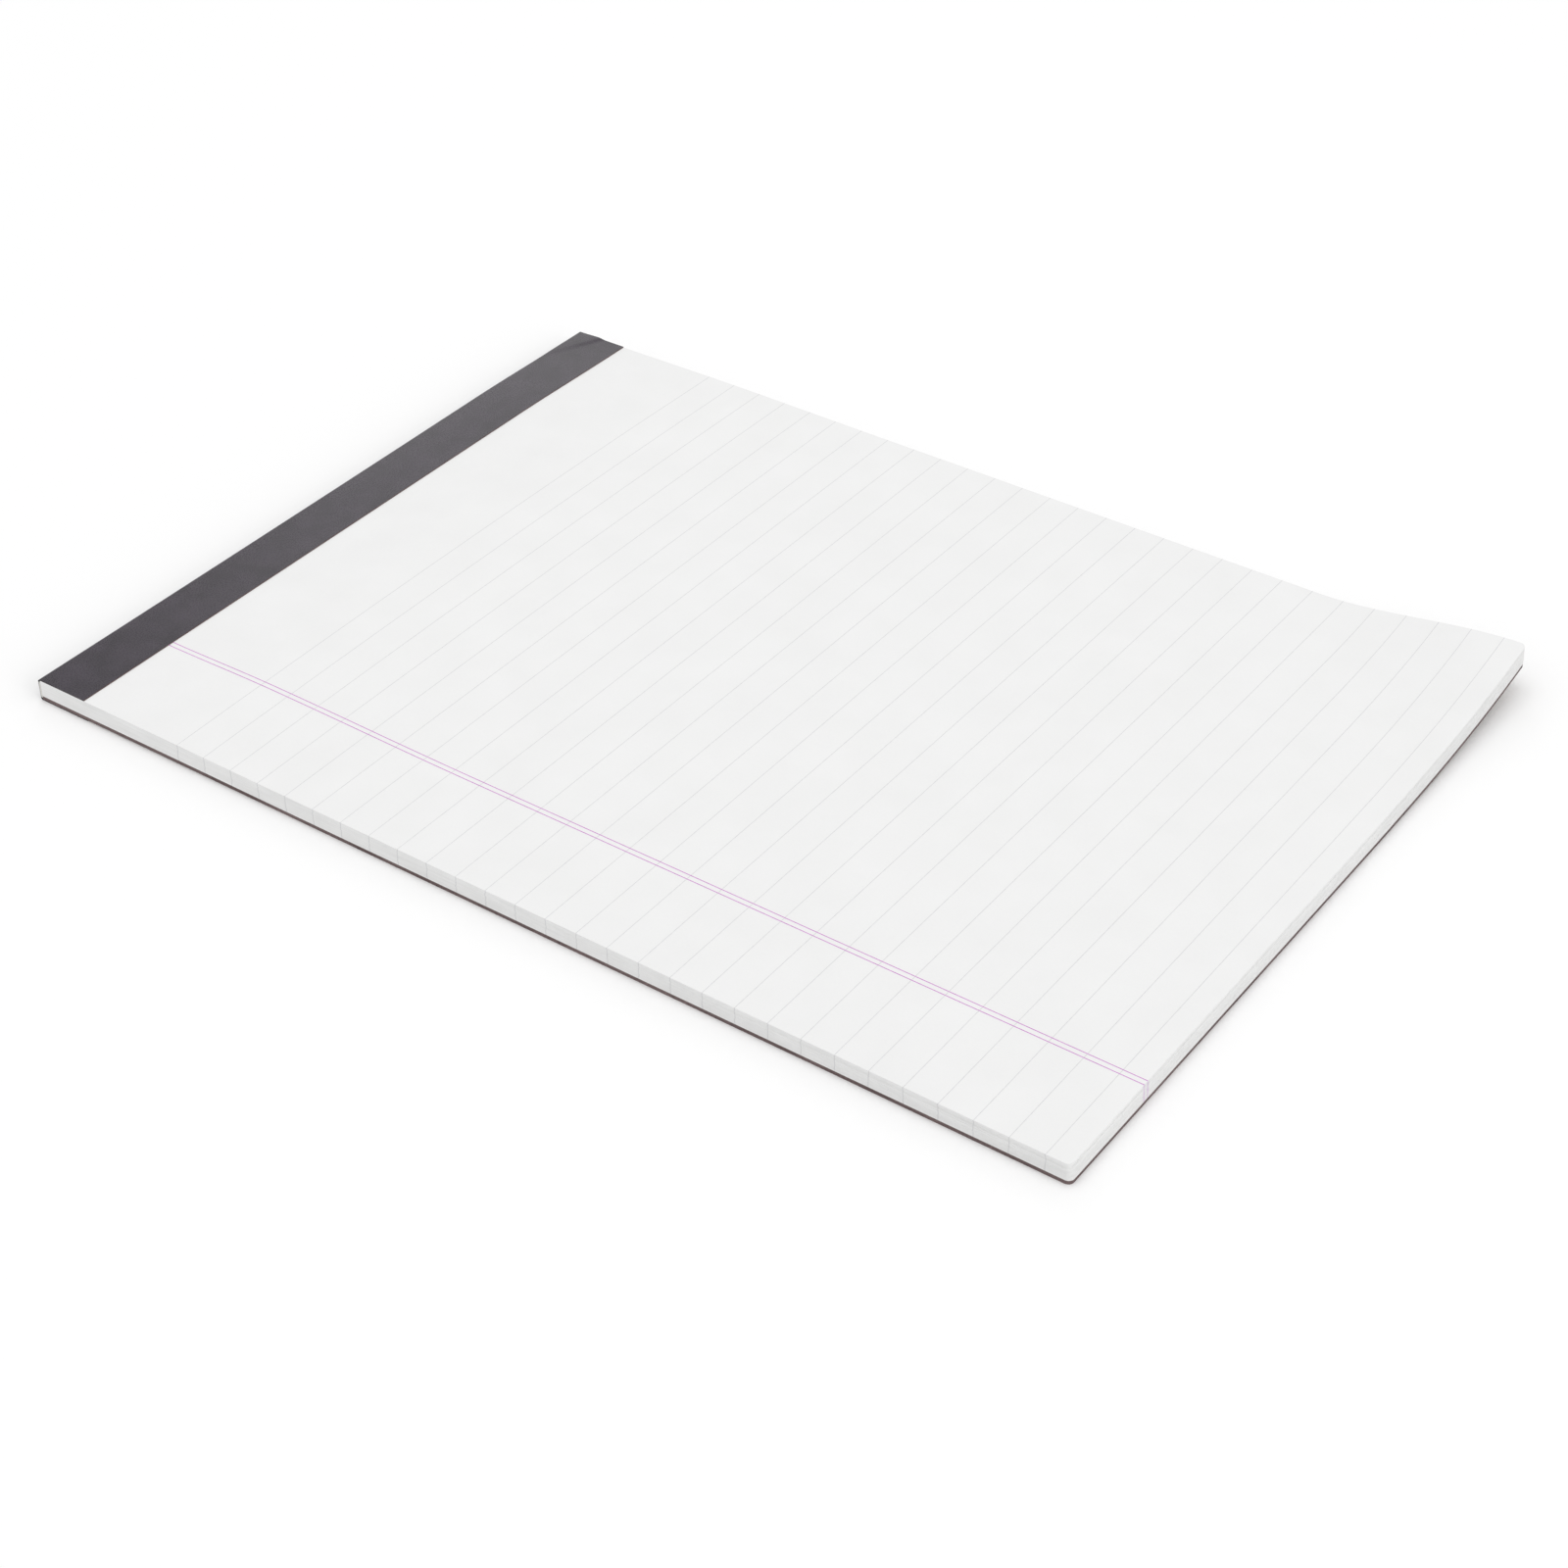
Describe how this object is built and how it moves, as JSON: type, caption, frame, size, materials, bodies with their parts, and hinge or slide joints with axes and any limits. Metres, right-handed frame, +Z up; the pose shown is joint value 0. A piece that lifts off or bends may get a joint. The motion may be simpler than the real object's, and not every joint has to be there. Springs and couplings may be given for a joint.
{
  "type": "legal pad",
  "caption": "Letter-width legal pad of ruled white sheets on a chipboard back, glued at the head under a dark folded tape, with one curled foot corner.",
  "frame": {"origin": "middle of the pad's underside, on the surface it lies on", "axes": "+Y to the bound head, +X to the right of the page as it is read, +Z up through the sheets"},
  "size_m": [0.216, 0.2992, 0.0121],
  "materials": {
    "paper": "matte",
    "chipboard": "matte",
    "tape": "satin",
    "glue": "satin"
  },
  "bodies": {
    "root": {"sheets": "paper", "backing_board": "chipboard", "binding_tape": "tape", "padding_glue": "glue"}
  },
  "joints": []
}
